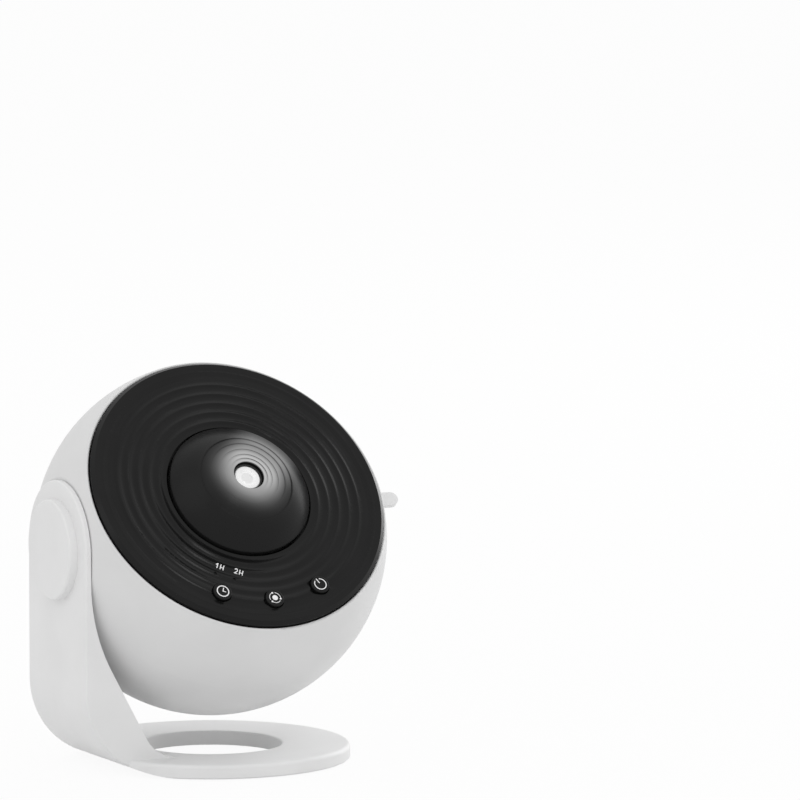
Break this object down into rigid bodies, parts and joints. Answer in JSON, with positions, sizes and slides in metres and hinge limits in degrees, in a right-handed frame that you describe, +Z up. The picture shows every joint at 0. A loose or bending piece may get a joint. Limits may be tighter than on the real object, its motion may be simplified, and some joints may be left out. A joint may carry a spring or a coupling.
{
  "type": "planetarium projector",
  "caption": "Desktop star-film projector: a white ball with a rippled black front and a focusing dome, tilting on one arm over a ring base, with a film cartridge that slides in from the side.",
  "frame": {"origin": "on the surface that the rubber strip stands on, below the middle of the ball and at the middle of the ring base", "axes": "+Z up; +X from the arm and pivot across the ball to the film cartridge's tab; the rippled front looks towards -Y and up"},
  "size_m": [0.146, 0.1346, 0.1562],
  "materials": {
    "white_shell": "satin white ABS",
    "black_panel": "fine-textured black ABS",
    "black_dome": "smooth black polycarbonate",
    "black_inner": "moulded black",
    "white_trim": "satin white",
    "rubber": "matt",
    "steel": "plain zinc-plated",
    "spring_steel": "polished",
    "aluminium": "as extruded",
    "glass": "polished",
    "board": "green solder mask",
    "chip": "moulded",
    "film": "glossy film",
    "gear_plastic": "natural acetal",
    "lamp": "clear silicone over phosphor",
    "friction": "fibre washer"
  },
  "bodies": {
    "stand": {"stand_frame": "white_shell", "base_cover": "white_shell", "foot_pad": "rubber", "base_screws": "steel", "pivot_cap": "white_shell", "friction_ring": "friction", "wave_spring": "spring_steel"},
    "ball": {"rear_shell": "white_shell", "front_shell": "white_shell", "shell_screws": "steel", "pivot_hub": "black_inner", "hub_screws": "steel", "pivot_washer": "steel", "pivot_screw": "steel", "face_panel": "black_panel", "panel_screws": "steel", "dome_retainer": "black_inner", "retainer_screws": "steel", "button_board": "board", "tact_switches": "chip", "indicator_pipes": "glass", "tray_guide_upper": "black_inner", "post_screws": "steel", "tray_guide_lower": "black_inner", "guide_screws": "steel", "lens_guide": "black_inner", "condenser_tube": "black_inner", "condenser_lens_front": "glass", "condenser_lens_rear": "glass", "lens_snap_rings": "spring_steel", "led_board": "aluminium", "led_emitter": "lamp", "heat_sink": "aluminium", "lamp_screws": "steel", "gear_motor": "steel", "control_board": "board", "board_components": "chip", "board_screws": "steel", "usb_socket": "spring_steel"},
    "focus_ring": {"focus_dome": "black_dome"},
    "lens": {"lens_barrel": "black_inner", "focus_pins": "steel", "front_lens": "glass", "lens_ring": "white_trim", "lens_spacer": "black_inner", "rear_lens": "glass"},
    "timer": {"timer_button": "black_panel", "timer_plunger": "black_inner"},
    "rotation": {"rotation_button": "black_panel", "rotation_plunger": "black_inner"},
    "power": {"power_button": "black_panel", "power_plunger": "black_inner"},
    "cartridge": {"film_tray": "white_shell", "disc_cover": "black_inner"},
    "disc": {"disc_gear": "gear_plastic", "film_disc": "film", "disc_clip": "spring_steel"},
    "pinion": {"drive_pinion": "gear_plastic", "motor_shaft": "steel"}
  },
  "joints": [
    {"name": "tilt", "type": "hinge", "parent": "stand", "child": "ball", "pos_m": [0, 0, 0.0879], "axis": [1, 0, 0], "range_deg": [-140.2, 39.8]},
    {"name": "focus_turn", "type": "hinge", "parent": "ball", "child": "focus_ring", "pos_m": [0, 0, 0.0879], "axis": [0, -0.7683, 0.6401], "range_deg": [-45.1, 45.1]},
    {"name": "lens_slide", "type": "slide", "parent": "ball", "child": "lens", "axis": [0, -0.7683, 0.6401], "range_m": [-0.0012, 0.0012]},
    {"name": "timer_press", "type": "slide", "parent": "ball", "child": "timer", "axis": [0, 0.7683, -0.6401], "range_m": [0, 0.0006], "stiffness_N_per_m": 2000},
    {"name": "rotation_press", "type": "slide", "parent": "ball", "child": "rotation", "axis": [0, 0.7683, -0.6401], "range_m": [0, 0.0006], "stiffness_N_per_m": 2000},
    {"name": "power_press", "type": "slide", "parent": "ball", "child": "power", "axis": [0, 0.7683, -0.6401], "range_m": [0, 0.0006], "stiffness_N_per_m": 2000},
    {"name": "cartridge_slide", "type": "slide", "parent": "ball", "child": "cartridge", "axis": [1, 0, 0], "range_m": [0, 0.088]},
    {"name": "disc_spin", "type": "hinge", "parent": "cartridge", "child": "disc", "pos_m": [0, 0, 0.0879], "axis": [0, -0.7683, 0.6401], "continuous": true},
    {"name": "pinion_spin", "type": "hinge", "parent": "ball", "child": "pinion", "pos_m": [-0.028, 0, 0.0879], "axis": [0, -0.7683, 0.6401], "continuous": true}
  ],
  "couplings": [
    {"joint": "focus_turn", "follows": "lens_slide", "rad_per_m": -654.5},
    {"joint": "pinion_spin", "follows": "disc_spin", "ratio": -4}
  ]
}
